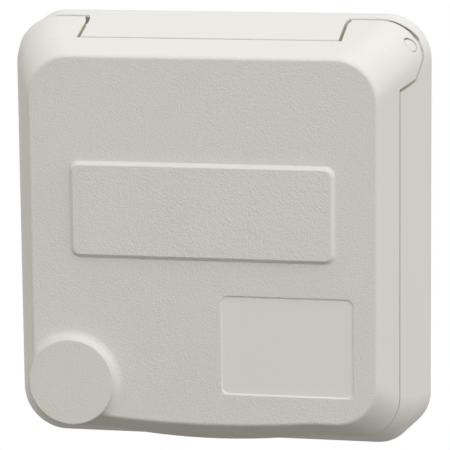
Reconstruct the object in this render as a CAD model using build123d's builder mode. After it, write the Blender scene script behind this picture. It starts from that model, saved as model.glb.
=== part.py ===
from build123d import *
from math import cos, hypot, radians, sin, sqrt, tan
import os

# Panel mount socket: a sloped frame screwed to a panel, a sprung lid hinged at its top corners, and behind
# the lid a round earthed two-pin socket whose body passes through the panel.
# Millimetres. X runs right, Z up, Y into the panel. The origin is the middle of the frame's back face, which
# lies on the panel in the plane Y = 0. A height is a distance in front of that plane, a depth one behind it.
panel = Plane.XZ

# Outside of the frame
flange_width = 100.0
flange_height = 102.8
frame_height = 14.35
side_draft = 19.5
top_draft = 17.8
bottom_draft = 18.9
corner_back = 10.6
facet_back = 9.0
facet_round = 9.0
facet_height = 8.2
facet_left = 0.2
frame_wall = 2.6
deck_sunk = 2.0
deck_thickness = 2.5

# Outside of the lid
parting_gap = 0.5
lid_depth = 8.85
lid_side_draft = 22.4
lid_top_draft = 18.6
lid_bottom_draft = 27.4
corner_parting = 9.5
corner_front = 10.3
lid_wall = 2.2
lid_front_wall = 2.4
lid_edge_radius = 1.1

# The finger grip, a wave in the lid's lower edge, which starts a set way in from the frame's sides
grip_side = 25.0
grip_front = 1.2
grip_back = 1.95
grip_blend = 50.0

# Raised band, sunk field and round disc on the lid's face
band_width = 62.6
band_height = 22.8
band_middle = 7.6
band_raise = 0.9
band_corner = 2.4
band_taper = 45.0
field_width = 31.2
field_height = 23.5
field_x = 19.85
field_z = -23.6
field_sunk = 0.3
field_corner = 1.8
field_taper = 45.0
disc_x = -31.4
disc_z = -33.4
disc_radius = 10.2
disc_raise = 2.0
disc_draft = 3.0
disc_foot_radius = 2.0
disc_edge = 0.2

# Hinge. The ear's places are measured inwards from the frame's outline
hinge_height = 6.0
hinge_drop = 6.5
ear_width = 18.7
ear_back = 3.6
ear_wall = 1.8
ear_cheek = 2.4
ear_gap = 0.8
ear_foot_drop = 15.8
ear_heel_height = 7.4
ear_heel_drop = 14.2
ear_shoulder_drop = 9.3
ear_corner = 1.0
ear_shoulder_round = 2.5
ear_cut_width = 0.7
ear_cut_height = 2.2
pin_radius = 1.25
pin_end_inset = 5.3
pin_seat_depth = 7.0
pin_blind_wall = 1.35
pin_end_play = 0.15
pin_mouth_radius = 1.6
pin_mouth_depth = 1.2
pin_chamfer = 0.2
pin_seat_clearance = 0.02
pin_running_clearance = 0.08
hinge_boss_radius = 2.7
hinge_boss_gap = 0.8
hinge_block_length = 9.0
hinge_block_drop = 18.8
swing_clearance = 0.15
swing_straight = 2.0
swing_taper = 20.0
ear_window = 6.4

# Lid springs
lid_spring_wire = 0.6
lid_spring_play = 0.1
lid_spring_turns = 4
lid_spring_pitch = 0.85
lid_spring_side_play = 1.0
lid_spring_front_leg = 6.6
lid_spring_back_leg = 4.0

# Panel screws
bolt_x = 37.0
bolt_z = 30.0
bolt_hole_radius = 2.25
bolt_boss_radius = 4.5
bolt_head_radius = 4.1
bolt_head_sunk = 0.8
rib_thickness = 1.4

# Round opening with its collar and skirt
opening_radius = 24.0
collar_wall = 5.5
collar_height = 18.0
skirt_gap = 2.0
skirt_wall = 5.0
panel_gasket_width = 3.0
panel_gasket_depth = 2.0

# Gasket in the lid
lid_gasket_width = 3.0
lid_gasket_gap = 0.15
lid_rib_thickness = 1.0
lid_rib_height = 1.7

# Socket insert, a cup whose shoulder a ring clamps under the frame
recess_radius = 19.5
recess_depth = 17.5
rim_height = 17.4
rim_play = 0.4
rim_thickness = 2.4
cup_wall = 2.2
floor_thickness = 3.2
shoulder_reach = 1.0
shoulder_thickness = 1.2
ring_play = 0.1
ring_edge = 0.5
ring_thickness = 2.5
insert_gasket_width = 2.0
insert_gasket_depth = 1.0
insert_gasket_gap = 0.9
key_width = 4.6
key_reach = 2.2
key_sunk = 3.0
pin_hole_radius = 2.6
pin_spacing = 19.0
insert_screw_radius = 1.4
insert_screw_length = 8.0
insert_screw_head = 2.3
screw_head_height = 1.8
screw_play = 0.2
screw_hole_spare = 0.5
thread_clearance = 0.05

# Earth bracket, folded from strip
earth_width = 5.0
earth_thickness = 0.8
earth_reach = 20.4
earth_nose = 17.9
earth_tip_height = 13.0
earth_nose_height = 9.0
earth_bend = 0.9
earth_tip_back = 0.6
earth_root_drop = 1.5
earth_slot_inner = 1.5
earth_slot_over = 1.0
strip_play = 0.3
earth_flag_z = -13.0

# Carrier behind the cup
carrier_inset = 2.0
carrier_depth = 20.5
sleeve_radius = 3.1
sleeve_bore = 2.35
sleeve_slit = 1.0
well_wall = 1.0
sleeve_play = 0.25
flag_thickness = 1.0
flag_width = 7.0
terminal_z = 11.0
terminal_screw_radius = 1.5
terminal_screw_length = 5.0
terminal_head_radius = 2.7
terminal_head_height = 1.8
terminal_slot = 0.7
clamp_size = 6.6
clamp_corner = 0.6
clamp_thickness = 1.2
centre_screw_radius = 1.6
centre_screw_length = 12.0
centre_head_radius = 3.2
centre_head_height = 1.8
centre_post_radius = 2.6

# Shutter
shutter_thickness = 4.6
shutter_lobe = 6.6
shutter_over = 0.9
shutter_tip = 1.0
shutter_bar = 3.0
shutter_play = 0.25
shutter_travel = 6.6
shutter_spring_radius = 2.0
shutter_spring_wire = 0.5
shutter_spring_turns = 5
shutter_spring_length = 9.5

# Rear cover
cover_room = 0.5
cover_wall = 2.0
cover_depth = 34.0
cover_corner = 3.0
cover_post_inset = 5.2
cover_post_radius = 2.7
cover_screw_radius = 1.4
cover_screw_length = 9.0
cover_screw_head = 2.6
grommet_z = -16.0
grommet_hole = 7.0
grommet_lip = 1.6
grommet_nose = 2.4
grommet_taper = 15.0
cable_radius = 4.0

# Sizes that follow from the ones above
lid_base = frame_height + parting_gap
lid_front = lid_base + lid_depth
lid_inside = lid_front - lid_front_wall
deck_height = frame_height - deck_sunk
deck_back = deck_height - deck_thickness
half_width = flange_width / 2
grip_half_width = half_width - grip_side
half_height = flange_height / 2
hinge_z = half_height - hinge_drop
ear_inner = half_width - ear_width
ear_foot_z = half_height - ear_foot_drop
ear_heel_z = half_height - ear_heel_drop
ear_shoulder_z = half_height - ear_shoulder_drop
pocket_inner = ear_inner - ear_gap
pin_start = pocket_inner - pin_seat_depth
pin_end = half_width - pin_end_inset
pin_blind_end = pin_end - pin_blind_wall
hinge_block_inner = pocket_inner - hinge_block_length
lid_spring_x = ear_inner + ear_cheek + lid_spring_side_play
coil_radius = pin_radius + pin_running_clearance + lid_spring_play + lid_spring_wire / 2
coil_length = lid_spring_turns * lid_spring_pitch
hinge_boss_inner = lid_spring_x + coil_length + lid_spring_wire / 2 + hinge_boss_gap
swing_radius = hypot(hinge_height - ear_back, half_height - ear_back * tan(radians(top_draft)) - hinge_z)
cup_radius = recess_radius + cup_wall
floor_height = rim_height - recess_depth
floor_back = floor_height - floor_thickness
ring_back = deck_back - ring_thickness
shoulder_radius = opening_radius + shoulder_reach
collar_radius = opening_radius + collar_wall
collar_middle = opening_radius + collar_wall / 2
insert_screw_circle = shoulder_radius + ring_play + ring_edge + insert_screw_radius + screw_play
insert_gasket_inner = collar_radius + insert_gasket_gap
insert_gasket_outer = insert_gasket_inner + insert_gasket_width
cover_inner = insert_screw_circle + insert_screw_head + cover_room
cover_radius = cover_inner + cover_wall
cover_post_x = cover_inner - cover_post_inset
skirt_inner = cover_radius + skirt_gap
skirt_outer = skirt_inner + skirt_wall
ring_outer = skirt_inner - ring_edge
panel_gasket_inner = (skirt_inner + skirt_outer - panel_gasket_width) / 2
panel_gasket_outer = panel_gasket_inner + panel_gasket_width
pin_x = pin_spacing / 2
earth_strap = floor_back + earth_thickness / 2
carrier_radius = cup_radius - carrier_inset


def outside(height):
    """Half width, top reach, bottom reach and corner radius of the outside at a height above the panel."""
    low = min(height, lid_base)
    up = max(height - lid_base, 0.0)
    side = half_width - low * tan(radians(side_draft)) - up * tan(radians(lid_side_draft))
    top = half_height - low * tan(radians(top_draft)) - up * tan(radians(lid_top_draft))
    bottom = half_height - low * tan(radians(bottom_draft)) - up * tan(radians(lid_bottom_draft))
    corner = corner_back + (corner_parting - corner_back) * low / lid_base
    corner = corner + (corner_front - corner_parting) * up / lid_depth
    return side, top, bottom, corner


def outline(height, inset=0.0, grip=0.0):
    """Draws the outside's rounded outline in the sketch in hand, moved inwards and with a wave below."""
    side, top, bottom, corner = outside(height)
    side = side - inset
    upper = top - inset
    lower = inset - bottom
    with BuildLine() as path:
        if grip > 0:
            Line((-side, lower), (-grip_half_width, lower))
            ThreePointArc((-grip_half_width, lower), (0, lower - grip), (grip_half_width, lower))
            Line((grip_half_width, lower), (side, lower))
        else:
            Line((-side, lower), (side, lower))
        Polyline((side, lower), (side, upper), (-side, upper), (-side, lower))
    make_face(path.edges())
    fillet(vertices().filter_by(lambda point: abs(point.X) > side - 0.01), corner - inset)
    if grip > 0:
        fillet(vertices().filter_by(lambda point: abs(abs(point.X) - grip_half_width) < 0.01), grip_blend)


def near(point, places):
    """Whether a sketch's point lies at one of the places."""
    return any(hypot(point.X - x, point.Y - y) < 0.01 for x, y in places)


def flange_outline(height, inset=0.0):
    """Draws the frame's outline, whose upper left and lower right corners turn to facets near the panel."""
    side, top, bottom, corner = outside(height)
    side = side - inset
    upper = top - inset
    lower = inset - bottom
    share = min(max(height, 0.0) / facet_height, 1.0)
    blunt = facet_round + (corner - facet_round) * share
    least = (2 - sqrt(2)) * blunt + facet_left
    leg = facet_back + (least - facet_back) * share - (2 - sqrt(2)) * inset
    facet_ends = [(side - leg, lower), (side, lower + leg), (leg - side, upper), (-side, upper - leg)]
    with BuildLine() as path:
        Polyline((-side, lower), *facet_ends[:2], (side, upper), *facet_ends[2:], (-side, lower))
    make_face(path.edges())
    plain_ends = [(-side, lower), (side, upper)]
    fillet([point for point in vertices() if near(point, plain_ends)], corner - inset)
    fillet([point for point in vertices() if near(point, facet_ends)], blunt - inset)


def ring(inner, outer, low, high, mode=Mode.ADD):
    """A ring round the Y axis between two heights, made in the part in hand."""
    with BuildSketch(panel.offset(low)) as shape:
        Circle(outer)
        Circle(inner, mode=Mode.SUBTRACT)
    extrude(shape.sketch, amount=high - low, mode=mode)


def plug(radius, low, high, places=((0, 0),), mode=Mode.ADD):
    """Round bosses, pins or holes along Y between two heights, one at each (x, z) place."""
    with BuildSketch(panel.offset(low)) as shape:
        with Locations(*places):
            Circle(radius)
    extrude(shape.sketch, amount=high - low, mode=mode)


def block(width, tall, low, high, places=((0, 0),), mode=Mode.ADD):
    """Square-cornered blocks between two heights, one round each (x, z) place."""
    with BuildSketch(panel.offset(low)) as shape:
        with Locations(*places):
            Rectangle(width, tall)
    extrude(shape.sketch, amount=high - low, mode=mode)


def hinge_side(x_start, length, radius, mode=Mode.ADD):
    """A round bar along the hinge axis, from x_start towards +X."""
    with BuildSketch(Plane.YZ.offset(x_start)) as shape:
        with Locations((-hinge_height, hinge_z)):
            Circle(radius)
    extrude(shape.sketch, amount=length, mode=mode)


def coil_spring(turns, length, radius, wire, centre, direction):
    """A wire coil made in the part in hand, and the path of its wire."""
    with BuildLine() as coil:
        Helix(length / turns, length, radius, center=centre, direction=direction)
    with BuildSketch(Plane(origin=coil.line @ 0, z_dir=coil.line % 0)) as section:
        Circle(wire / 2)
    sweep(section.sketch, path=coil.line)
    return coil.line


def ear_profile():
    """Draws the hinge ear's side view in the sketch in hand: back edge, shoulder, heel and foot."""
    beyond = flange_height
    with BuildLine() as path:
        Polyline(
            (-lid_base, ear_foot_z),
            (-lid_base, beyond),
            (-ear_back, beyond),
            (-ear_back, ear_shoulder_z),
            (-ear_heel_height, ear_heel_z),
            (-lid_base, ear_foot_z),
        )
    make_face(path.edges())
    shoulder = vertices().filter_by(lambda point: abs(point.Y - ear_shoulder_z) < 0.01)
    fillet(shoulder, ear_shoulder_round)
    heel = vertices().filter_by(lambda point: abs(point.Y - ear_heel_z) < 0.01)
    fillet(heel, ear_corner)


def ear_cut(inner, back, low, mode):
    """A long wedge along an ear's inner back edge, from z = low up past the frame's top."""
    past = ear_cut_width
    with BuildSketch(Plane.XY.offset(low)) as shape:
        with BuildLine() as path:
            Polyline(
                (inner, -back - ear_cut_height),
                (inner + ear_cut_width, -back),
                (inner + ear_cut_width, past),
                (inner - past, past),
                (inner - past, -back - ear_cut_height),
                (inner, -back - ear_cut_height),
            )
        make_face(path.edges())
    extrude(shape.sketch, amount=flange_height, mode=mode)


# The flange as a full solid up to the lid's back edge, which shapes both the frame and the lid's ears
with BuildPart() as flange_body:
    with BuildSketch(panel):
        outline(0)
    with BuildSketch(panel.offset(lid_base)):
        outline(lid_base)
    loft(ruled=True)

with BuildPart() as ear_room:
    with BuildSketch(panel.offset(-1)):
        outline(0, ear_wall)
    with BuildSketch(panel.offset(lid_base)):
        outline(lid_base, ear_wall)
    loft(ruled=True)

# The space that a hinge ear needs in the frame: its own shape with a gap, the round path of its back edge,
# and a window in the back where that path comes so near the panel that no wall fits
with BuildPart() as ear_space:
    with BuildSketch(Plane.YZ.offset(pocket_inner)):
        ear_profile()
        offset(amount=ear_gap)
    extrude(amount=flange_width)
    swing_corner = half_width - corner_back + swing_straight
    hinge_side(pocket_inner, swing_corner - pocket_inner, swing_radius + swing_clearance)
    with BuildSketch(Plane.YZ.offset(swing_corner)):
        with Locations((-hinge_height, hinge_z)):
            Circle(swing_radius + swing_clearance)
    extrude(amount=half_width - frame_wall - swing_corner, taper=swing_taper)
    window_width = half_width - corner_back - pocket_inner
    with BuildSketch(panel.offset(-1)):
        with Locations((pocket_inner + window_width / 2, hinge_z)):
            Rectangle(window_width, ear_window)
    extrude(amount=hinge_height)
    ear_cut(pocket_inner, ear_back - ear_gap, hinge_z + hinge_boss_radius, Mode.SUBTRACT)
    mirror(about=Plane.YZ)

# The frame's hollow, open at the back, with the skirt, bosses, ribs and hinge blocks left standing in it
bolt_places = [(x, z) for x in (-bolt_x, bolt_x) for z in (-bolt_z, bolt_z)]
with BuildPart() as frame_hollow:
    for height in (-1, facet_height, deck_back):
        with BuildSketch(panel.offset(height)):
            flange_outline(height, frame_wall)
    loft(ruled=True)
    plug(skirt_outer, -1, deck_back, mode=Mode.SUBTRACT)
    plug(bolt_boss_radius, -1, deck_back, bolt_places, mode=Mode.SUBTRACT)
    rib_places = [(0, -bolt_z), (0, 0), (0, bolt_z)]
    block(flange_width, rib_thickness, -1, deck_back, rib_places, mode=Mode.SUBTRACT)
    block(rib_thickness, flange_height, -1, deck_back, mode=Mode.SUBTRACT)
    with BuildSketch(panel.offset(-1)):
        for side in (-1, 1):
            with Locations((side * (half_width + hinge_block_inner) / 2, half_height)):
                Rectangle(half_width - hinge_block_inner, 2 * hinge_block_drop)
    extrude(amount=deck_back + 1, mode=Mode.SUBTRACT)

cup_screw_places = []
for quarter in range(4):
    angle = radians(45 + 90 * quarter)
    cup_screw_places.append((insert_screw_circle * cos(angle), insert_screw_circle * sin(angle)))

with BuildPart() as frame:
    for height in (0, facet_height, frame_height):
        with BuildSketch(panel.offset(height)):
            flange_outline(height)
    loft(ruled=True)
    with BuildSketch(panel.offset(deck_height)):
        outline(deck_height, frame_wall)
    extrude(amount=deck_sunk, mode=Mode.SUBTRACT)
    add(frame_hollow.part, mode=Mode.SUBTRACT)
    plug(collar_radius, deck_back, collar_height)
    plug(opening_radius, 0, collar_height, mode=Mode.SUBTRACT)
    plug(skirt_inner, 0, deck_back, mode=Mode.SUBTRACT)
    ring(panel_gasket_inner, panel_gasket_outer, 0, panel_gasket_depth, mode=Mode.SUBTRACT)
    add(ear_space.part, mode=Mode.SUBTRACT)
    plug(bolt_hole_radius, 0, frame_height, bolt_places, mode=Mode.SUBTRACT)
    plug(bolt_head_radius, deck_height - bolt_head_sunk, frame_height, bolt_places, mode=Mode.SUBTRACT)
    pilot = insert_screw_radius + thread_clearance
    pilot_end = ring_back + insert_screw_length + screw_hole_spare
    plug(pilot, deck_back, pilot_end, cup_screw_places, mode=Mode.SUBTRACT)
    hinge_side(pin_start, pin_seat_depth, pin_radius + pin_seat_clearance, mode=Mode.SUBTRACT)
    hinge_side(-pocket_inner, hinge_block_length + 1, pin_radius + pin_seat_clearance, mode=Mode.SUBTRACT)
frame.part.label = "frame"

# The lid's ears: the flange's own skin carried back over the hinge, with an inner cheek and a pin boss
with BuildPart() as ear_core:
    add(ear_room.part)
    with BuildSketch(Plane.YZ.offset(ear_inner + ear_cheek)):
        with Locations((-lid_base / 2, half_height)):
            Rectangle(2 * lid_base, flange_height)
    extrude(amount=flange_width, mode=Mode.INTERSECT)

with BuildPart() as ear_boss:
    add(flange_body.part)
    with BuildSketch(Plane.YZ.offset(hinge_boss_inner)):
        with Locations((-hinge_height, hinge_z)):
            Circle(hinge_boss_radius)
        with Locations((-(hinge_height + lid_base) / 2, hinge_z)):
            Rectangle(lid_base - hinge_height, ear_wall)
    extrude(amount=flange_width, mode=Mode.INTERSECT)

with BuildPart() as ears:
    add(flange_body.part)
    with BuildSketch(Plane.YZ.offset(ear_inner)):
        ear_profile()
    extrude(amount=flange_width, mode=Mode.INTERSECT)
    add(ear_core.part, mode=Mode.SUBTRACT)
    add(ear_boss.part)
    ear_cut(ear_inner, ear_back, ear_foot_z, Mode.SUBTRACT)
    mirror(about=Plane.YZ)
    pin_bore = pin_radius + pin_running_clearance
    blind_bore_end = pin_blind_end + pin_end_play
    hinge_side(ear_inner - 1, flange_width, pin_bore, mode=Mode.SUBTRACT)
    hinge_side(pin_end - pin_mouth_depth, flange_width, pin_mouth_radius, mode=Mode.SUBTRACT)
    hinge_side(-blind_bore_end, blind_bore_end - ear_inner + 1, pin_bore, mode=Mode.SUBTRACT)

# The lid's hollow, with the ring ribs that hold the gasket and the ears' cheeks left standing in it
lid_gasket_inner = collar_middle - lid_gasket_width / 2
lid_gasket_outer = collar_middle + lid_gasket_width / 2
with BuildPart() as lid_hollow:
    with BuildSketch(panel.offset(lid_base - 1)):
        outline(lid_base, lid_wall, grip_back)
    with BuildSketch(panel.offset(lid_inside)):
        outline(lid_inside, lid_wall, grip_front)
    loft(ruled=True)
    low = lid_inside - lid_rib_height
    ring(lid_gasket_inner - lid_rib_thickness, lid_gasket_inner, low, lid_inside, mode=Mode.SUBTRACT)
    ring(lid_gasket_outer, lid_gasket_outer + lid_rib_thickness, low, lid_inside, mode=Mode.SUBTRACT)
    cheek_middle = ear_inner + ear_cheek / 2
    cheek_height = half_height - ear_foot_z
    cheeks = [(side * cheek_middle, ear_foot_z + cheek_height / 2) for side in (-1, 1)]
    block(ear_cheek, cheek_height, lid_base - 1, lid_inside, cheeks, mode=Mode.SUBTRACT)

with BuildPart() as lid:
    with BuildSketch(panel.offset(lid_base)):
        outline(lid_base, grip=grip_back)
    with BuildSketch(panel.offset(lid_front)):
        outline(lid_front, grip=grip_front)
    loft(ruled=True)
    fillet(edges().group_by(Axis.Y)[0], lid_edge_radius)
    disc_foot = lid_base + lid_depth / 4
    with BuildSketch(panel.offset(lid_front + disc_raise)):
        with Locations((disc_x, disc_z)):
            Circle(disc_radius)
    extrude(amount=disc_foot - lid_front - disc_raise, taper=-disc_draft)
    reach = disc_radius + disc_raise
    foot = edges().filter_by(lambda edge: hypot((edge @ 0.5).X - disc_x, (edge @ 0.5).Z - disc_z) < reach)
    foot = foot.filter_by(lambda edge: disc_foot < -(edge @ 0.5).Y < lid_front + disc_raise / 2)
    fillet(foot, disc_foot_radius)
    fillet(edges().group_by(Axis.Y)[0], disc_edge)
    add(lid_hollow.part, mode=Mode.SUBTRACT)
    add(ears.part)
    with BuildSketch(panel.offset(lid_front)):
        with Locations((0, band_middle)):
            RectangleRounded(band_width, band_height, band_corner)
    extrude(amount=band_raise, taper=band_taper)
    with BuildSketch(panel.offset(lid_front)):
        with Locations((field_x, field_z)):
            RectangleRounded(field_width, field_height, field_corner)
    extrude(amount=-field_sunk, taper=field_taper, mode=Mode.SUBTRACT)
lid.part.label = "lid"

# The right pin goes in through its ear, and the left one from behind through its block into a blind ear
with BuildPart() as hinge_pin_right:
    hinge_side(pin_start, pin_end - pin_start, pin_radius)
    chamfer(hinge_pin_right.edges(), pin_chamfer)
hinge_pin_right.part.label = "hinge_pin_right"

with BuildPart() as hinge_pin_left:
    hinge_side(-pin_blind_end, pin_blind_end - pin_start, pin_radius)
    chamfer(hinge_pin_left.edges(), pin_chamfer)
hinge_pin_left.part.label = "hinge_pin_left"

# Each torsion spring is a few turns of wire round the pin, one leg on the frame and one under the lid
with BuildPart() as lid_spring_right:
    coil_start = (lid_spring_x + coil_length, -hinge_height, hinge_z)
    coil = coil_spring(lid_spring_turns, coil_length, coil_radius, lid_spring_wire, coil_start, (-1, 0, 0))
    for end, leg in ((0, -lid_spring_back_leg), (1, lid_spring_front_leg)):
        with BuildSketch(Plane(origin=coil @ end, z_dir=coil % end)):
            Circle(lid_spring_wire / 2)
        extrude(amount=leg)
lid_spring_right.part.label = "lid_spring_right"

with BuildPart() as lid_spring_left:
    add(mirror(lid_spring_right.part, about=Plane.YZ))
lid_spring_left.part.label = "lid_spring_left"

with BuildPart() as lid_gasket:
    ring(lid_gasket_inner, lid_gasket_outer, collar_height + lid_gasket_gap, lid_inside)
lid_gasket.part.label = "lid_gasket"

with BuildPart() as panel_gasket:
    ring(panel_gasket_inner, panel_gasket_outer, 0, panel_gasket_depth)
panel_gasket.part.label = "panel_gasket"

# The socket insert is the cup that a plug goes into, with a shoulder behind the frame's collar
with BuildPart() as socket_insert:
    plug(cup_radius, floor_back, rim_height)
    plug(opening_radius - rim_play, rim_height - rim_thickness, rim_height)
    plug(shoulder_radius, deck_back - shoulder_thickness, deck_back)
    plug(recess_radius, floor_height, rim_height, mode=Mode.SUBTRACT)
    keys = [(side * (recess_radius - key_reach / 2 + cup_wall / 4), 0) for side in (-1, 1)]
    block(key_reach + cup_wall / 2, key_width, floor_height, rim_height - key_sunk, keys)
    plug(pin_hole_radius, floor_back, floor_height, [(-pin_x, 0), (pin_x, 0)], mode=Mode.SUBTRACT)
    slot_width = earth_width + 2 * strip_play
    slot_reach = earth_reach + earth_thickness / 2 + strip_play
    slot_top = earth_tip_height + earth_slot_over
    slot_inner = earth_nose - earth_slot_inner
    slots = [(0, side * (slot_reach + slot_inner) / 2) for side in (-1, 1)]
    block(slot_width, slot_reach - slot_inner, floor_back, slot_top, slots, mode=Mode.SUBTRACT)
    block(slot_width, 2 * slot_reach, floor_back, floor_back + earth_thickness, mode=Mode.SUBTRACT)
    plug(centre_screw_radius + screw_play, floor_back, floor_height, mode=Mode.SUBTRACT)
    centre_seat = floor_height - centre_head_height
    plug(centre_head_radius + screw_play, centre_seat, floor_height, mode=Mode.SUBTRACT)
socket_insert.part.label = "socket_insert"

# The clamp ring presses that shoulder on the frame, and its two posts carry the rear cover
cover_post_places = [(-cover_post_x, 0), (cover_post_x, 0)]
post_end = cover_wall - cover_depth
gasket_low = deck_back - insert_gasket_depth
with BuildPart() as clamp_ring:
    ring(cup_radius + ring_play, ring_outer, ring_back, deck_back)
    plug(shoulder_radius + ring_play, deck_back - shoulder_thickness, deck_back, mode=Mode.SUBTRACT)
    plug(cover_post_radius, post_end, ring_back, cover_post_places)
    plug(insert_screw_radius + screw_play, ring_back, deck_back, cup_screw_places, mode=Mode.SUBTRACT)
    ring(insert_gasket_inner, insert_gasket_outer, gasket_low, deck_back, mode=Mode.SUBTRACT)
    pilot = cover_screw_radius + thread_clearance
    plug(pilot, post_end, post_end + cover_screw_length, cover_post_places, mode=Mode.SUBTRACT)
clamp_ring.part.label = "clamp_ring"

with BuildPart() as insert_gasket:
    ring(insert_gasket_inner, insert_gasket_outer, gasket_low, deck_back)
insert_gasket.part.label = "insert_gasket"

# The earth bracket is one folded strip: two sprung arms in the cup's wall and a flag at the back
arm_root = earth_reach
with BuildPart() as earth_bracket:
    arms = [
        (-earth_tip_height, earth_reach - earth_tip_back),
        (-earth_nose_height, earth_nose + earth_thickness / 2),
        (-floor_height - earth_root_drop, arm_root),
        (-earth_strap, arm_root),
        (-earth_strap, -arm_root),
        (-floor_height - earth_root_drop, -arm_root),
        (-earth_nose_height, -earth_nose - earth_thickness / 2),
        (-earth_tip_height, earth_tip_back - earth_reach),
    ]
    with BuildSketch(Plane.YZ.offset(-earth_width / 2)):
        with BuildLine() as bends:
            FilletPolyline(*arms, radius=earth_bend)
        trace(bends.line, earth_thickness)
    extrude(amount=earth_width)
    flag_depth = carrier_depth + flag_thickness / 2
    tail = [
        (-earth_strap, -arm_root + earth_bend * 2),
        (-earth_strap, -arm_root),
        (flag_depth, -arm_root),
        (flag_depth, earth_flag_z + flag_width / 2),
    ]
    with BuildSketch(Plane.YZ.offset(-earth_width / 2)):
        with BuildLine() as tail_bends:
            FilletPolyline(*tail, radius=earth_bend)
        trace(tail_bends.line, earth_thickness)
    extrude(amount=earth_width)
    plug(centre_screw_radius + screw_play, floor_back - 1, floor_height, mode=Mode.SUBTRACT)
    earth_place = [(0, earth_flag_z)]
    plug(terminal_screw_radius, -flag_depth - 1, -flag_depth + 1, earth_place, mode=Mode.SUBTRACT)
earth_bracket.part.label = "earth_bracket"

# The carrier holds the contacts behind the cup, and the shutter slides in a pocket in its front
pocket_back = floor_back - shutter_thickness - shutter_play
well_front = pocket_back - well_wall
lobe_reach = pin_hole_radius + shutter_over
bar_low = -lobe_reach - shutter_bar
pocket_top = lobe_reach + shutter_play
pocket_low = bar_low - shutter_travel - shutter_play
spring_seat = bar_low - shutter_spring_length
pocket_half = pin_x + shutter_lobe / 2 + shutter_play
pin_places = [(-pin_x, 0), (pin_x, 0)]
terminal_places = [(-pin_x, terminal_z), (pin_x, terminal_z), (0, earth_flag_z)]
with BuildPart() as contact_carrier:
    plug(carrier_radius, -carrier_depth, floor_back)
    with BuildSketch(panel.offset(pocket_back)):
        with Locations((0, (pocket_top + pocket_low) / 2)):
            Rectangle(2 * pocket_half, pocket_top - pocket_low)
        with Locations((0, (pocket_top + spring_seat) / 2)):
            Rectangle(2 * shutter_spring_radius + 2 * shutter_play, pocket_top - spring_seat)
        Circle(centre_post_radius, mode=Mode.SUBTRACT)
    extrude(amount=floor_back - pocket_back, mode=Mode.SUBTRACT)
    plug(pin_hole_radius, well_front, pocket_back, pin_places, mode=Mode.SUBTRACT)
    plug(sleeve_radius + sleeve_play, -carrier_depth, well_front, pin_places, mode=Mode.SUBTRACT)
    screw_end = -carrier_depth - flag_thickness - clamp_thickness + terminal_screw_length
    bore = terminal_screw_radius + thread_clearance
    plug(bore, -carrier_depth, screw_end + 1, terminal_places, mode=Mode.SUBTRACT)
    centre_end = centre_seat - centre_screw_length
    plug(centre_screw_radius + thread_clearance, centre_end - 1, floor_back, mode=Mode.SUBTRACT)
contact_carrier.part.label = "contact_carrier"

with BuildPart() as centre_screw:
    plug(centre_head_radius, centre_seat, floor_height)
    plug(centre_screw_radius, centre_end, centre_seat)
    slot_floor = floor_height - centre_head_height / 2
    block(2 * centre_head_radius, terminal_slot, slot_floor, floor_height, mode=Mode.SUBTRACT)
centre_screw.part.label = "centre_screw"

with BuildPart() as shutter:
    for side in (-1, 1):
        with BuildSketch(Plane.YZ.offset(side * pin_x - shutter_lobe / 2)):
            front = -floor_back + shutter_play / 2
            back = front + shutter_thickness
            with BuildLine():
                Polyline(
                    (front, bar_low),
                    (front, -pin_hole_radius),
                    (back - shutter_tip, lobe_reach),
                    (back, lobe_reach),
                    (back, bar_low),
                    (front, bar_low),
                )
            make_face()
    extrude(amount=shutter_lobe)
    bar_middle = (0, bar_low + shutter_bar / 2)
    block(2 * pin_x, shutter_bar, -back, -front, [bar_middle])
shutter.part.label = "shutter"


with BuildPart() as shutter_spring:
    coil_spring(
        shutter_spring_turns,
        shutter_spring_length - shutter_spring_wire,
        shutter_spring_radius - shutter_spring_wire / 2,
        shutter_spring_wire,
        (0, -(pocket_back + floor_back) / 2, spring_seat + shutter_spring_wire / 2),
        (0, 0, 1),
    )
shutter_spring.part.label = "shutter_spring"


def contact(side):
    """One split sleeve for a plug's pin, with a flat flag behind the carrier that carries the terminal."""
    x = side * pin_x
    with BuildPart() as piece:
        plug(sleeve_radius, -carrier_depth, well_front, [(x, 0)])
        plug(sleeve_bore, -carrier_depth, well_front, [(x, 0)], mode=Mode.SUBTRACT)
        slit = [(x + side * sleeve_radius, 0)]
        block(2 * sleeve_radius, sleeve_slit, -carrier_depth, well_front, slit, mode=Mode.SUBTRACT)
        flag_low = -sleeve_radius
        flag_high = terminal_z + flag_width / 2
        flag_middle = [(x, (flag_low + flag_high) / 2)]
        block(flag_width, flag_high - flag_low, -carrier_depth - flag_thickness, -carrier_depth, flag_middle)
        hole = terminal_screw_radius + thread_clearance
        plug(hole, -carrier_depth - flag_thickness, -carrier_depth, [(x, terminal_z)], mode=Mode.SUBTRACT)
    return piece


live_contact = contact(-1)
live_contact.part.label = "live_contact"
neutral_contact = contact(1)
neutral_contact.part.label = "neutral_contact"


def clamp_plate(place):
    """The square plate under a terminal's screw that presses the wire on its flag."""
    with BuildPart() as piece:
        high = -carrier_depth - flag_thickness
        block(clamp_size, clamp_size, high - clamp_thickness, high, [place])
        plug(terminal_screw_radius + screw_play, high - clamp_thickness, high, [place], mode=Mode.SUBTRACT)
        fillet(piece.edges().filter_by(Axis.Y), clamp_corner)
    return piece


def terminal_screw(place):
    """A terminal's screw with a slotted head, seated on its clamp plate."""
    with BuildPart() as piece:
        seat = -carrier_depth - flag_thickness - clamp_thickness
        plug(terminal_head_radius, seat - terminal_head_height, seat, [place])
        plug(terminal_screw_radius, seat, seat + terminal_screw_length, [place])
        slot_depth = terminal_head_height / 2
        low = seat - terminal_head_height
        block(2 * terminal_head_radius, terminal_slot, low, low + slot_depth, [place], mode=Mode.SUBTRACT)
    return piece


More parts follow.
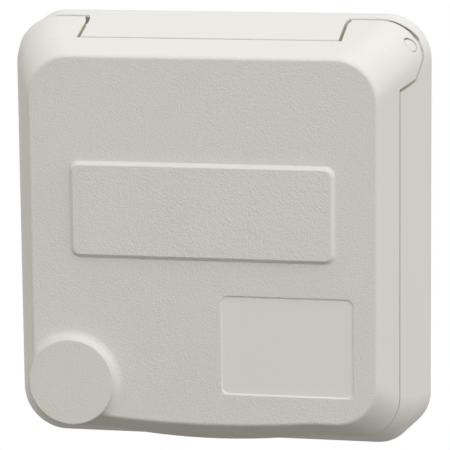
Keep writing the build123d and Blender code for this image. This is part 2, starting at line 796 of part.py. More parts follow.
terminals = []
for name, place in zip(("live", "neutral", "earth"), terminal_places):
    plate = clamp_plate(place)
    plate.part.label = f"{name}_clamp_plate"
    screw = terminal_screw(place)
    screw.part.label = f"{name}_terminal_screw"
    terminals.extend((plate, screw))

with BuildPart() as insert_screws:
    plug(insert_screw_head, ring_back - screw_head_height, ring_back, cup_screw_places)
    plug(insert_screw_radius, ring_back, ring_back + insert_screw_length, cup_screw_places)
insert_screws.part.label = "insert_screws"

# The rear cover closes the terminals behind the panel and takes the cable through a rubber grommet
grommet_place = [(0, grommet_z)]
with BuildPart() as rear_cover:
    plug(cover_radius, -cover_depth, ring_back)
    fillet(edges().group_by(Axis.Y)[-1], cover_corner)
    plug(cover_inner, cover_wall - cover_depth, ring_back, mode=Mode.SUBTRACT)
    plug(grommet_hole, -cover_depth, cover_wall - cover_depth, grommet_place, mode=Mode.SUBTRACT)
    hole = cover_screw_radius + screw_play
    plug(hole, -cover_depth, cover_wall - cover_depth, cover_post_places, mode=Mode.SUBTRACT)
rear_cover.part.label = "rear_cover"

with BuildPart() as cable_grommet:
    inner_face = cover_wall - cover_depth
    plug(grommet_hole, -cover_depth, inner_face, grommet_place)
    plug(grommet_hole + grommet_lip, inner_face, inner_face + grommet_lip, grommet_place)
    plug(grommet_hole + grommet_lip, -cover_depth - grommet_lip, -cover_depth, grommet_place)
    with BuildSketch(panel.offset(-cover_depth - grommet_lip)):
        with Locations(*grommet_place):
            Circle(grommet_hole)
    extrude(amount=-grommet_nose, taper=grommet_taper)
    bore_end = inner_face + grommet_lip
    plug(cable_radius, -cover_depth - 2 * grommet_hole, bore_end, grommet_place, mode=Mode.SUBTRACT)
cable_grommet.part.label = "cable_grommet"

with BuildPart() as cover_screws:
    plug(cover_screw_head, -cover_depth - screw_head_height, -cover_depth, cover_post_places)
    plug(cover_screw_radius, -cover_depth, -cover_depth + cover_screw_length, cover_post_places)
cover_screws.part.label = "cover_screws"

os.makedirs("parts", exist_ok=True)
pieces = [frame, lid, hinge_pin_left, hinge_pin_right, lid_spring_left, lid_spring_right, lid_gasket]
pieces += [panel_gasket, socket_insert, clamp_ring, insert_gasket, insert_screws, earth_bracket]
pieces += [contact_carrier, centre_screw, shutter, shutter_spring, live_contact, neutral_contact]
pieces += [rear_cover, cable_grommet, cover_screws, *terminals]
for piece in pieces:
    export_step(piece.part, f"parts/{piece.part.label}.step")
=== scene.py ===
# %% [markdown]
# # A panel mount socket with a sprung lid
# The object is a power socket for a panel: a moulded frame that is screwed on, a lid that springs shut over the
# plug's recess, and a round housing with the terminals behind the panel. Its solids come ready made from the CAD
# model, so this lesson gives them their finish, makes the springs again as wire, adds screws with a drive, and
# lights the whole as a plain product photograph.
#
# The imported model is loaded first. Each solid keeps its place, and the box round all of them is noted, because
# the dressed model has to stay inside it.

# %% Load the imported model
import math

import bmesh
import bpy
from mathutils import Matrix, Vector


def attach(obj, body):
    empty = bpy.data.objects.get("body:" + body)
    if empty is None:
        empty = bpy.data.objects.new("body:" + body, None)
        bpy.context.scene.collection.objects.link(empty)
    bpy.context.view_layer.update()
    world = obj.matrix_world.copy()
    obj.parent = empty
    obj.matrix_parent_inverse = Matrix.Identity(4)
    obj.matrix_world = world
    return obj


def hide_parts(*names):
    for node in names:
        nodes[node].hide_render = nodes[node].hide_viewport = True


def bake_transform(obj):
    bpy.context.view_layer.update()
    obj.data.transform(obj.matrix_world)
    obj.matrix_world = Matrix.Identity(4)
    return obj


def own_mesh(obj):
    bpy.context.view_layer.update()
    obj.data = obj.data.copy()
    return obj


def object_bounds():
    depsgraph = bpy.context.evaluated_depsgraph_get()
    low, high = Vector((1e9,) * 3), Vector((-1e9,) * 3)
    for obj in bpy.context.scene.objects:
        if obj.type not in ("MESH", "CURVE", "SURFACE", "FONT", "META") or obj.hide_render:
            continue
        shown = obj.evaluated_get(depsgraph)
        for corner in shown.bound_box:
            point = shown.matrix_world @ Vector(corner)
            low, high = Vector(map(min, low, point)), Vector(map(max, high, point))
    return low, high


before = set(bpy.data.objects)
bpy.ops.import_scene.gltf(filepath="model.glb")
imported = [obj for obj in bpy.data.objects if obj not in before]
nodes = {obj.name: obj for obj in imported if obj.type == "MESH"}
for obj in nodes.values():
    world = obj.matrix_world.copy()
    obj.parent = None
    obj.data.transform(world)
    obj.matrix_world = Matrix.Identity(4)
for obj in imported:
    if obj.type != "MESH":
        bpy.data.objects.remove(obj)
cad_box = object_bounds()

# %% [markdown]
# ## The camera
# The photograph was taken from a little to the right and a little above, with a long lens, so that the frame's
# right side and top slope just show. A camera could be aimed with a Track To constraint. Here its three axes are
# worked out from three angles instead, the last of them a slight roll, and those axes are the columns of its
# matrix.

# %% Place the camera
turn, tilt, roll = math.radians(12.07), math.radians(10.49), math.radians(-0.59)
distance, across, above = 0.7033, 0.000463, 0.000284
back = Vector((math.sin(turn) * math.cos(tilt), -math.cos(turn) * math.cos(tilt), math.sin(tilt)))
level = Vector((math.cos(turn), math.sin(turn), 0))
upright = back.cross(level)
right = level * math.cos(roll) + upright * math.sin(roll)
up = upright * math.cos(roll) - level * math.sin(roll)

camera = bpy.data.objects.new("camera", bpy.data.cameras.new("camera"))
bpy.context.scene.collection.objects.link(camera)
camera.matrix_world = (Matrix.Translation(back * distance + right * across + up * above)
                       @ Matrix((right, up, back)).transposed().to_4x4())
camera.data.lens = 235.9
camera.data.sensor_width = 36
camera.data.clip_start = 0.01
bpy.context.scene.camera = camera
print("camera at", [round(value, 3) for value in camera.location])

# %% [markdown]
# ## A helper for materials
# Every finish below is a small graph of nodes. Nodes can be placed and joined by hand in the editor, or in code.
# This helper makes one node, fills its sockets and links them in one line. A value that is itself an output of
# another node becomes a link, and any other value is typed into the socket.

# %% Make one node
def fill(made, tree, sockets):
    """Fills or links the named sockets of a node."""
    for name, value in sockets.items():
        if isinstance(value, bpy.types.NodeSocket):
            tree.links.new(value, made.inputs[name])
        else:
            made.inputs[name].default_value = value
    return made


def add_node(tree, kind, sockets=(), **settings):
    """Adds a node of one kind, with its settings, and fills or links the sockets that are named."""
    made = tree.nodes.new(kind)
    for name, value in settings.items():
        setattr(made, name, value)
    return fill(made, tree, dict(sockets))


def make_group(name, inputs, outputs):
    """An empty shader group with its named sockets, and its input and output nodes."""
    tree = bpy.data.node_groups.new(name, "ShaderNodeTree")
    for label, kind, value in inputs:
        tree.interface.new_socket(label, in_out="INPUT", socket_type=kind).default_value = value
    for label, kind in outputs:
        tree.interface.new_socket(label, in_out="OUTPUT", socket_type=kind)
    return tree, tree.nodes.new("NodeGroupInput").outputs, tree.nodes.new("NodeGroupOutput")


print("helpers for nodes are ready")

# %% [markdown]
# ## Moulded grain
# The shell is moulded in a tool whose steel was etched, so its surface is a fine skin of shallow dents that
# touch one another, one or two tenths of a millimetre across. It could be real geometry, but so many dents cost
# far too much. A noise texture that only drives a Bump node gives the same play of light. The dents run together
# into short ridges, which slant one way in some patches and the other way in others. So there are two noises,
# each stretched along its own slant, and a third, large and soft, that says which of the two shows. The group
# mixes in a finer, rounder noise and puts out a height and a slight change of tone, so each plastic can use it
# at its own size.

# %% Build the grain group
grain, given, result = make_group(
    "moulded_grain",
    [("Size", "NodeSocketFloat", 0.0005), ("Fine Share", "NodeSocketFloat", 0.35)],
    [("Height", "NodeSocketFloat"), ("Tone", "NodeSocketFloat")])
place = add_node(grain, "ShaderNodeTexCoord")
per_metre = add_node(grain, "ShaderNodeMath", {0: 0.5, 1: given["Size"]}, operation="DIVIDE")
slants, stretch = (-50, 45), 2.0
ridges = []
for slant in slants:
    stretched = add_node(grain, "ShaderNodeMapping", {"Vector": place.outputs["Object"], "Scale": (stretch, 1, 1),
                                                      "Rotation": (0, math.radians(slant), 0)},
                         vector_type="TEXTURE")
    ridges.append(add_node(grain, "ShaderNodeTexNoise", {"Vector": stretched.outputs[0],
                                                         "Scale": per_metre.outputs[0], "Detail": 0.0}))
patches = add_node(grain, "ShaderNodeTexNoise", {"Vector": place.outputs["Object"], "Scale": 70.0, "Detail": 0.0})
which = add_node(grain, "ShaderNodeMapRange", {"Value": patches.outputs[0], "From Min": 0.46, "From Max": 0.54})
dents = add_node(grain, "ShaderNodeMix", {0: which.outputs[0], 2: ridges[0].outputs[0], 3: ridges[1].outputs[0]})
finer = add_node(grain, "ShaderNodeMath", {0: per_metre.outputs[0], 1: 2.3}, operation="MULTIPLY")
pores = add_node(grain, "ShaderNodeTexNoise", {"Vector": place.outputs["Object"], "Scale": finer.outputs[0],
                                               "Detail": 0.0})
height = add_node(grain, "ShaderNodeMix", {0: given["Fine Share"], 2: dents.outputs[0], 3: pores.outputs[0]})
add_tone = add_node(grain, "ShaderNodeMapRange", {"Value": height.outputs[0], "From Min": 0.3, "From Max": 0.7})
grain.links.new(height.outputs[0], result.inputs["Height"])
grain.links.new(add_tone.outputs[0], result.inputs["Tone"])
print("moulded_grain puts out", [socket.name for socket in result.inputs if socket.name])

# %% [markdown]
# ## Slow change of tone
# No moulding has one even colour: the plastic flows in from one side, and light and dark drift across it by a
# percent or two. A flat colour looks printed. This group takes a colour and moves it a little lighter and darker
# with a large, soft noise.

# %% Build the tone group
drift, given, result = make_group(
    "tone_drift",
    [("Color", "NodeSocketColor", (0.5, 0.5, 0.5, 1)), ("Amount", "NodeSocketFloat", 0.03),
     ("Size", "NodeSocketFloat", 0.03), ("Speck", "NodeSocketFloat", 0.5)],
    [("Color", "NodeSocketColor"), ("Tone", "NodeSocketFloat")])
place = add_node(drift, "ShaderNodeTexCoord")
per_metre = add_node(drift, "ShaderNodeMath", {0: 1.0, 1: given["Size"]}, operation="DIVIDE")
clouds = add_node(drift, "ShaderNodeTexNoise", {"Vector": place.outputs["Object"], "Scale": per_metre.outputs[0],
                                                "Detail": 2.0, "Roughness": 0.5})
both = add_node(drift, "ShaderNodeMath", {0: clouds.outputs[0], 1: given["Speck"]}, operation="ADD")
centred = add_node(drift, "ShaderNodeMath", {0: both.outputs[0], 1: 1.0}, operation="SUBTRACT")
swing = add_node(drift, "ShaderNodeMath", {0: centred.outputs[0], 1: given["Amount"], 2: 1.0},
                 operation="MULTIPLY_ADD")
lighter = add_node(drift, "ShaderNodeVectorMath", {0: given["Color"], "Scale": swing.outputs[0]},
                   operation="SCALE")
drift.links.new(lighter.outputs[0], result.inputs["Color"])
drift.links.new(clouds.outputs[0], result.inputs["Tone"])
print("tone_drift puts out", [socket.name for socket in result.inputs if socket.name])

# %% [markdown]
# ## Polished zones
# Only the faces that look forward have the grain. The sunk field on the lid's face was polished in the mould, and
# so were the slopes, or they would scrape when the shell leaves the mould. The zones could be separate material
# slots, but the solids aren't cut there. Two masks do it. The first is box-shaped: it measures how far a point
# lies outside a box in the object's own coordinates, and puts out 1 inside it. The second reads the object's own
# normal, and puts out 1 where the surface faces forward.

# %% Build the zone group
zone, given, result = make_group(
    "box_zone",
    [("Centre", "NodeSocketVector", (0, 0, 0)), ("Half Size", "NodeSocketVector", (0.01, 0.01, 0.01)),
     ("Soft Edge", "NodeSocketFloat", 0.0002)],
    [("Mask", "NodeSocketFloat")])
place = add_node(zone, "ShaderNodeTexCoord")
offset = add_node(zone, "ShaderNodeVectorMath", {0: place.outputs["Object"], 1: given["Centre"]},
                  operation="SUBTRACT")
reach = add_node(zone, "ShaderNodeVectorMath", {0: offset.outputs[0]}, operation="ABSOLUTE")
outside = add_node(zone, "ShaderNodeVectorMath", {0: reach.outputs[0], 1: given["Half Size"]},
                   operation="SUBTRACT")
parts = add_node(zone, "ShaderNodeSeparateXYZ", {0: outside.outputs[0]})
first = add_node(zone, "ShaderNodeMath", {0: parts.outputs[0], 1: parts.outputs[1]}, operation="MAXIMUM")
widest = add_node(zone, "ShaderNodeMath", {0: first.outputs[0], 1: parts.outputs[2]}, operation="MAXIMUM")
inside = add_node(zone, "ShaderNodeMapRange", {"Value": widest.outputs[0], "From Min": given["Soft Edge"],
                                               "From Max": 0.0})
zone.links.new(inside.outputs[0], result.inputs["Mask"])
print("box_zone puts out", [socket.name for socket in result.inputs if socket.name])

facing, given, result = make_group(
    "faces_forward",
    [("Start", "NodeSocketFloat", 0.8), ("Full", "NodeSocketFloat", 0.97)],
    [("Mask", "NodeSocketFloat")])
place = add_node(facing, "ShaderNodeTexCoord")
normal = add_node(facing, "ShaderNodeSeparateXYZ", {0: place.outputs["Normal"]})
forward = add_node(facing, "ShaderNodeMath", {0: normal.outputs[1], 1: -1.0}, operation="MULTIPLY")
front = add_node(facing, "ShaderNodeMapRange", {"Value": forward.outputs[0], "From Min": given["Start"],
                                                "From Max": given["Full"]})
facing.links.new(front.outputs[0], result.inputs["Mask"])
print("faces_forward puts out", [socket.name for socket in result.inputs if socket.name])

# %% [markdown]
# ## Drawn and turned metal
# Springs, pins and screws are drawn or turned, which leaves hair-fine lines and a slightly uneven shine. The
# lines could be a wave texture, which looks too regular. A noise stretched along one axis is closer. The group
# puts out the lines as a height and a roughness that wanders round a middle value.

# %% Build the metal group
metal_lines, given, result = make_group(
    "drawn_lines",
    [("Along", "NodeSocketVector", (1, 1, 0.1)), ("Roughness", "NodeSocketFloat", 0.3),
     ("Wander", "NodeSocketFloat", 0.15)],
    [("Height", "NodeSocketFloat"), ("Roughness", "NodeSocketFloat")])
place = add_node(metal_lines, "ShaderNodeTexCoord")
drawn = add_node(metal_lines, "ShaderNodeVectorMath", {0: place.outputs["Object"], 1: given["Along"]},
                 operation="MULTIPLY")
hairs = add_node(metal_lines, "ShaderNodeTexNoise", {"Vector": drawn.outputs[0], "Scale": 9000.0, "Detail": 2.0})
smears = add_node(metal_lines, "ShaderNodeTexNoise", {"Vector": place.outputs["Object"], "Scale": 350.0,
                                                      "Detail": 3.0})
centred = add_node(metal_lines, "ShaderNodeMath", {0: smears.outputs[0], 1: 0.5}, operation="SUBTRACT")
shine = add_node(metal_lines, "ShaderNodeMath", {0: centred.outputs[0], 1: given["Wander"],
                                                 2: given["Roughness"]}, operation="MULTIPLY_ADD")
metal_lines.links.new(hairs.outputs[0], result.inputs["Height"])
metal_lines.links.new(shine.outputs[0], result.inputs["Roughness"])
print("drawn_lines puts out", [socket.name for socket in result.inputs if socket.name])

# %% [markdown]
# ## A plastic from the two groups
# All the plastics share one recipe: a colour that drifts, a grain that bumps the light, and a roughness that
# follows the grain a little, since the floor of each dent is duller than the land round it. The shader itself
# stands in each material, where its plain values can be read.

# %% Write the recipe for plastics
def start_material(name):
    """A new material with an empty Principled shader, its node tree and that shader."""
    made = bpy.data.materials.new(name)
    made.use_nodes = True
    return made, made.node_tree, made.node_tree.nodes["Principled BSDF"]


def plastic(name, color, roughness, size, depth, amount=0.03, fine=0.35):
    """A moulded plastic. Its size is that of one dent and its depth the dent's, both in metres."""
    made, tree, shader = start_material(name)
    skin = add_node(tree, "ShaderNodeGroup", {"Size": size, "Fine Share": fine}, node_tree=grain)
    tint = add_node(tree, "ShaderNodeGroup", {"Color": (*color, 1), "Amount": amount,
                                              "Speck": skin.outputs["Tone"]}, node_tree=drift)
    dull = add_node(tree, "ShaderNodeMapRange", {"Value": skin.outputs["Tone"], "To Min": roughness + 0.06,
                                                 "To Max": roughness - 0.04})
    bump = add_node(tree, "ShaderNodeBump", {"Height": skin.outputs["Height"], "Distance": depth,
                                             "Strength": 1.0})
    fill(shader, tree, {"Base Color": tint.outputs["Color"], "Roughness": dull.outputs[0],
                        "Normal": bump.outputs[0]})
    return made, tree, shader, skin, tint, dull, bump


print("the recipe for plastics is ready")

# %% [markdown]
# ## The shell
# The frame and lid are a warm light grey, matte plastic. The recipe gives most of it. The relief is multiplied by
# the two masks, so the grain keeps its full depth on the faces that look forward and a tenth of it on the slopes
# and in the sunk field. The sunk field's colour is also painted a little lighter, as painted light, because
# nothing shades its surface. On the real shell the narrow gaps look tan and not grey, because light seeps through
# the pale plastic's edges. Real scattering under the surface is slow to render, so an Ambient Occlusion node finds
# the gaps and paints that seeping light into the colour there, warmer and lighter. A Bevel node rounds the edges
# of the shading by a third of a millimetre, since no moulded edge is truly sharp.

# %% Make the shell's plastic
shell_color, seeping_light_color = (0.731, 0.711, 0.666, 1), (0.82, 0.74, 0.60, 1)
shell, tree, shader, skin, tint, dull, bump = plastic(
    "warm_grey_shell", shell_color[:3], 0.56, 0.00012, 0.000105, 0.03, 0.1)
field_zone = add_node(tree, "ShaderNodeGroup", {
    "Centre": (0.01985, -0.0234, -0.0236), "Half Size": (0.0154, 0.0006, 0.01155)}, node_tree=zone)
front_mask = add_node(tree, "ShaderNodeGroup", node_tree=facing)
off_field = add_node(tree, "ShaderNodeMath", {0: 1.0, 1: field_zone.outputs[0]}, operation="SUBTRACT")
grained = add_node(tree, "ShaderNodeMath", {0: front_mask.outputs[0], 1: off_field.outputs[0]},
                   operation="MULTIPLY")
etched = add_node(tree, "ShaderNodeMapRange", {"Value": grained.outputs[0], "To Min": 0.1, "To Max": 1.0})
relief = add_node(tree, "ShaderNodeMath", {0: skin.outputs["Height"], 1: etched.outputs[0]},
                  operation="MULTIPLY")
flat_tone = add_node(tree, "ShaderNodeMix", {0: grained.outputs[0], 2: 0.5, 3: skin.outputs["Tone"]})
# Painted light: the sunk field's colour is made a little lighter, since nothing shades its smooth surface.
unshaded_field_color = [value * 1.08 for value in shell_color[:3]]
painted_field_light = add_node(tree, "ShaderNodeMix", {0: field_zone.outputs[0], 6: shell_color, 7: (*unshaded_field_color, 1)},
                       data_type="RGBA")
# Painted light: where Ambient Occlusion finds a narrow gap, the colour turns warmer and lighter for the light that
# seeps through the plastic's edges.
shelter = add_node(tree, "ShaderNodeAmbientOcclusion", {"Distance": 0.004}, samples=8)
in_gap = add_node(tree, "ShaderNodeMapRange", {"Value": shelter.outputs["AO"], "From Min": 0.5, "From Max": 0.2})
painted_gap_light = add_node(tree, "ShaderNodeMix", {0: in_gap.outputs[0], 6: painted_field_light.outputs[2], 7: seeping_light_color},
                    data_type="RGBA")
soft_edges = add_node(tree, "ShaderNodeBevel", {"Radius": 0.0003}, samples=6)
fill(bump, tree, {"Height": relief.outputs[0], "Normal": soft_edges.outputs[0]})
fill(tint, tree, {"Color": painted_gap_light.outputs[2], "Speck": flat_tone.outputs[0]})
fill(dull, tree, {"Value": flat_tone.outputs[0]})
print(shell.name, "has", len(tree.nodes), "nodes")

# %% [markdown]
# ## The inner plastics
# Inside, four more mouldings are met when the lid opens or from behind: a dark grey insert with the recess, an
# off-white carrier for the live parts, a shutter over the pin holes, and the rear cover. Each takes the recipe
# with its own colour, shine and grain, so they differ as the real ones do.

# %% Make the inner plastics
insert_plastic = plastic("dark_grey_insert", (0.045, 0.047, 0.05), 0.42, 0.0003, 0.00002, 0.10)[0]
carrier_plastic = plastic("off_white_carrier", (0.62, 0.59, 0.52), 0.5, 0.0004, 0.00002, 0.05)[0]
shutter_plastic = plastic("pale_shutter", (0.55, 0.54, 0.50), 0.4, 0.0003, 0.00001, 0.04)[0]
cover_plastic = plastic("grey_rear_cover", (0.075, 0.078, 0.083), 0.52, 0.0006, 0.00005, 0.10)[0]
print("four inner plastics are ready")

# %% [markdown]
# ## The seals
# Gaskets and the cable grommet are black rubber. Rubber scatters light at its surface, so it is a dark plastic
# with a high roughness, a bloom of paler powder in patches, and a little sheen at glancing angles.

# %% Make the rubber
rubber, tree, shader, skin, tint, dull, bump = plastic(
    "black_rubber", (0.018, 0.018, 0.019), 0.72, 0.0005, 0.00003, 0.5, 0.6)
shader.inputs["Sheen Weight"].default_value = 0.15
shader.inputs["Sheen Roughness"].default_value = 0.6
print(rubber.name, "is ready")

# %% [markdown]
# ## The metals
# Three metals are in the object: spring steel wire, bright zinc-plated steel for pins, screws and clamp plates,
# and brass for the contacts, the earth bracket and the terminals' screws. All are the same recipe: a plain
# Metallic of 1, a colour for what it reflects, and the drawn lines for its bump and roughness.

# %% Make the metals
def metal(name, color, roughness, along):
    """A drawn or turned metal. Its fine lines run along the axis that has the smallest value in along."""
    made, tree, shader = start_material(name)
    lines = add_node(tree, "ShaderNodeGroup", {"Along": along, "Roughness": roughness, "Wander": 0.2},
                     node_tree=metal_lines)
    tint = add_node(tree, "ShaderNodeGroup", {"Color": (*color, 1), "Amount": 0.12, "Size": 0.004,
                                              "Speck": lines.outputs["Height"]}, node_tree=drift)
    bump = add_node(tree, "ShaderNodeBump", {"Height": lines.outputs["Height"], "Distance": 0.000004})
    fill(shader, tree, {"Base Color": tint.outputs["Color"], "Roughness": lines.outputs["Roughness"],
                        "Normal": bump.outputs[0], "Metallic": 1.0})
    return made


spring_steel = metal("drawn_spring_steel", (0.40, 0.39, 0.38), 0.32, (0.15, 1, 1))
bright_steel = metal("zinc_plated_steel", (0.62, 0.62, 0.60), 0.28, (1, 0.15, 1))
brass = metal("contact_brass", (0.72, 0.52, 0.24), 0.30, (1, 0.15, 1))
print("three metals are ready")

# %% [markdown]
# ## Dressing the solids
# The solids that keep their shape take their finish through their material slots. A table from node to material
# says it all in one place, and a loop fills every slot.

# %% Give each solid its finish
finishes = {
    shell: ["frame", "lid"],
    insert_plastic: ["socket_insert", "clamp_ring"],
    carrier_plastic: ["contact_carrier"],
    shutter_plastic: ["shutter"],
    cover_plastic: ["rear_cover"],
    rubber: ["lid_gasket", "panel_gasket", "insert_gasket", "cable_grommet"],
    bright_steel: ["hinge_pin_left", "insert_screws", "centre_screw",
                   "live_clamp_plate", "neutral_clamp_plate", "earth_clamp_plate"],
    brass: ["live_contact", "neutral_contact", "earth_bracket",
            "live_terminal_screw", "neutral_terminal_screw", "earth_terminal_screw"],
}
for material, names in finishes.items():
    for name in names:
        for slot in nodes[name].material_slots:
            slot.material = material
print(sum(len(names) for names in finishes.values()), "solids have a finish")

# %% [markdown]
# ## A helper for new pieces
# Whatever is added below is first a mesh. A mesh is seen only once an object holds it and the scene holds the
# object. An operator could add both, but it depends on the editor's state, so plain data calls are safer here.

# %% Write the helper
def add_piece(name, mesh):
    """Puts a mesh into the scene as an object of that name."""
    made = bpy.data.objects.new(name, mesh)
    bpy.context.scene.collection.objects.link(made)
    return made


print("the helper for new pieces is ready")

# %% [markdown]
# ## Wire from a path
# The solids of the three springs are stiff: when the lid opens or the shutter slides, one end would tear away
# from what it pushes. So each spring is made again as a wire. A curve with a round bevel is the quickest wire.
# It is turned into a mesh at once, since only a mesh could bend with two bodies at the same time.

# %% Write the wire helper
wire_rounding = 3


def wire_piece(name, points, radius, material):
    """A round wire along a list of points, with closed ends, as a mesh object of its own."""
    data = bpy.data.curves.new(name, "CURVE")
    data.dimensions = "3D"
    data.bevel_depth = radius
    data.bevel_resolution = wire_rounding
    data.use_fill_caps = True
    line = data.splines.new("POLY")
    line.points.add(len(points) - 1)
    for knot, place in zip(line.points, points):
        knot.co = (*place, 1)
    rod = bpy.data.objects.new(name + "_path", data)
    mesh = bpy.data.meshes.new_from_object(rod)
    bpy.data.objects.remove(rod)
    mesh.name = name
    mesh.materials.clear()
    mesh.materials.append(material)
    mesh.shade_smooth()
    return add_piece(name, mesh)


print("a wire has", 4 + 2 * wire_rounding, "sides")

# %% [markdown]
# ## The lid's springs
# Each torsion spring is four turns round its hinge pin, with one leg against the frame and one under the lid.
# The left spring is the right one mirrored.

# %% Wind the lid's springs
hinge = Vector((0, -0.006, 0.0449))
coil_from, coil_to, coil_radius, lid_wire_radius = 0.0381, 0.0347, 0.00173, 0.0003
turns, steps = 4, 36
frame_leg = (0.004, 0.003, 0.002, 0.001)
lid_leg = (0.001, 0.002, 0.003, 0.004, 0.005, 0.0062)


def torsion_path(side):
    """Points along a torsion spring's wire, from the frame's leg over the turns to the lid's leg."""
    slope = (coil_from - coil_to) / (turns * 2 * math.pi * coil_radius)
    points = [Vector((side * (coil_from + slope * reach), hinge.y + reach, hinge.z - coil_radius))
              for reach in frame_leg]
    for step in range(turns * steps + 1):
        angle = 2 * math.pi * step / steps
        along = coil_from + (coil_to - coil_from) * step / (turns * steps)
        points.append(Vector((side * along, hinge.y - coil_radius * math.sin(angle),
                              hinge.z - coil_radius * math.cos(angle))))
    points += [Vector((side * (coil_to - slope * reach), hinge.y - reach, hinge.z - coil_radius))
               for reach in lid_leg]
    return points


for side, word in ((1, "right"), (-1, "left")):
    spring = wire_piece("flexing_spring_" + word, torsion_path(side), lid_wire_radius, spring_steel)
    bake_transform(spring)
    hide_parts("lid_spring_" + word)
    print(spring.name, "has", len(spring.data.polygons), "faces")

# %% [markdown]
# ## The shutter's spring
# A compression spring pushes the shutter up over the pin holes. Its first and last turns lie flat against what
# they push, with open turns between, so the height of each point follows a curve that is level at both ends.

# %% Wind the shutter's spring
seat, top, middle_y, turn_radius = -0.01575, -0.00675, 0.005725, 0.00175
dead, live, wire = 1.0, 4.5, 0.0005
points = []
for step in range(int((2 * dead + live) * steps) + 1):
    turn_now = step / steps
    open_share = min(max((turn_now - dead) / live, 0), 1)
    flat = min(turn_now, dead) + max(turn_now - dead - live, 0)
    rise = flat * wire + open_share * (top - seat - 2 * dead * wire)
    angle = 2 * math.pi * turn_now
    points.append(Vector((turn_radius * math.cos(angle), middle_y + turn_radius * math.sin(angle), seat + rise)))
spring = wire_piece("flexing_shutter_spring", points, wire / 2, spring_steel)
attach(spring, "housing")
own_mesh(spring)
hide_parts("shutter_spring")
print(spring.name, "has", len(spring.data.polygons), "faces")

# %% [markdown]
# ## The right hinge pin's end
# In the photograph the right ear shows only a thin dark crescent where the hinge pin's hole is: the pin ends
# flush with the curved surface, in the shell's own colour, and leaves a narrow gap behind it. The solid pin stops
# short with a flat end. A Boolean with the ear could shape the end. Here the ear's surface is simple enough to
# compute: it is a draft angle with a rounded corner, so each point of the end is moved out to meet it. The pin
# stays with the frame, as the solid does, and its head clears the hole's mouth while the ear turns round it.

# %% Shape the pin's end
half_width, side_draft = 0.05, math.radians(19.5)
half_height, top_draft = 0.0514, math.radians(17.8)
corner_back, corner_parting, parting_height = 0.0106, 0.0095, 0.01485
pin_start, pin_radius, chamfer_radius = 0.0235, 0.00125, 0.0009
head_start, head_radius, head_shift = 0.0434, 0.00137, 0.0002
step_length = 0.0002
facets = 48


def ear_surface(height, level):
    """How far out in X the ear's outer surface lies, at a height over the panel and a level above the middle."""
    side = half_width - height * math.tan(side_draft)
    top = half_height - height * math.tan(top_draft)
    corner = corner_back + (corner_parting - corner_back) * height / parting_height
    rise = max(level - (top - corner), 0)
    return side - corner + math.sqrt(corner * corner - rise * rise)


def pin_ring(x, radius, shift):
    """A ring of points at one x, or on the ear's surface where x is None, shifted forward and half as far down."""
    ring = []
    for step in range(facets):
        angle = 2 * math.pi * step / facets
        y, z = hinge.y - shift + radius * math.cos(angle), hinge.z - shift / 2 + radius * math.sin(angle)
        ring.append((ear_surface(-y, z) if x is None else x, y, z))
    return ring


shape = bmesh.new()
rings = [pin_ring(pin_start, chamfer_radius, 0), pin_ring(pin_start + step_length, pin_radius, 0),
         pin_ring(head_start, pin_radius, 0), pin_ring(head_start + step_length, head_radius, head_shift)]
rings += [pin_ring(None, radius, head_shift) for radius in (head_radius, 0.0012, 0.0008, 0.0004)]
rows = [[shape.verts.new(point) for point in ring] for ring in rings]
for low, high in zip(rows, rows[1:]):
    for step in range(len(low)):
        shape.faces.new((low[step], low[step - 1], high[step - 1], high[step]))
shape.faces.new(rows[0])
shape.faces.new(rows[-1])
bmesh.ops.recalc_face_normals(shape, faces=shape.faces)
pin_mesh = bpy.data.meshes.new("flush_hinge_pin")
shape.to_mesh(pin_mesh)
shape.free()
pin_mesh.materials.append(shell)
pin_mesh.shade_smooth()
pin_mesh.set_sharp_from_angle(angle=math.radians(40))
pin = add_piece("flush_hinge_pin", pin_mesh)
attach(pin, "housing")
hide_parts("hinge_pin_right")
print(pin.name, "has", len(pin_mesh.polygons), "faces")

# %% [markdown]
# ## Screws with a drive
# The two screws in the rear cover are plain round solids. A real one has a domed head with a cross in it and a
# thread. The head and shank are one outline turned round an axis, the cross is two tapered bars cut out with a
# Boolean, and the thread is the same wire as before, wound tightly on the shank.

# %% Turn the cover's screws
def lathe(name, outline, sides):
    """A mesh made by turning an outline of (radius, depth) points round the Y axis."""
    mesh = bpy.data.meshes.new(name)
    shape = bmesh.new()
    rings = []
    for radius, depth in outline:
        if radius == 0:
            rings.append([shape.verts.new((0, depth, 0))])
        else:
            rings.append([shape.verts.new((radius * math.cos(2 * math.pi * step / sides), depth,
                                           radius * math.sin(2 * math.pi * step / sides)))
                          for step in range(sides)])
    for low, high in zip(rings, rings[1:]):
        for step in range(sides):
            corners = [low[step % len(low)], low[(step + 1) % len(low)],
                       high[(step + 1) % len(high)], high[step % len(high)]]
            shape.faces.new(list(dict.fromkeys(corners)))
    bmesh.ops.recalc_face_normals(shape, faces=shape.faces)
    shape.to_mesh(mesh)
    shape.free()
    return mesh


post_x, screw_rim, shank, screw_sides = 0.0248, 0.0026, 0.00115, 40
head_top, head_seat, tip = 0.0358, 0.034, 0.025
thread_start, pitch, thread_radius, thread_turns, thread_steps = 0.0332, 0.0008, 0.00022, 9, 24
cross_length, cross_width, cross_taper = 0.0031, 0.00062, 0.55
cross_height, cross_lift = 0.003, 0.0004
head = [(0, head_top), (0.0011, head_top - 0.00004), (0.0019, head_top - 0.0003), (0.0024, head_top - 0.0008),
        (screw_rim, head_top - 0.0013), (screw_rim, head_seat), (shank, head_seat), (shank, tip + 0.0012),
        (0.0004, tip + 0.0002), (0, tip)]
cutter_mesh = bpy.data.meshes.new("cross")
shape = bmesh.new()
for long_axis in (0, 2):
    bar = bmesh.ops.create_cube(shape, size=1)["verts"]
    for vert in bar:
        taper = 1.0 if vert.co.y > 0 else cross_taper
        vert.co = Vector((vert.co.x * taper * (cross_length if long_axis == 0 else cross_width),
                          vert.co.y * cross_height,
                          vert.co.z * taper * (cross_length if long_axis == 2 else cross_width)))
        vert.co.y += head_top + cross_lift
shape.to_mesh(cutter_mesh)
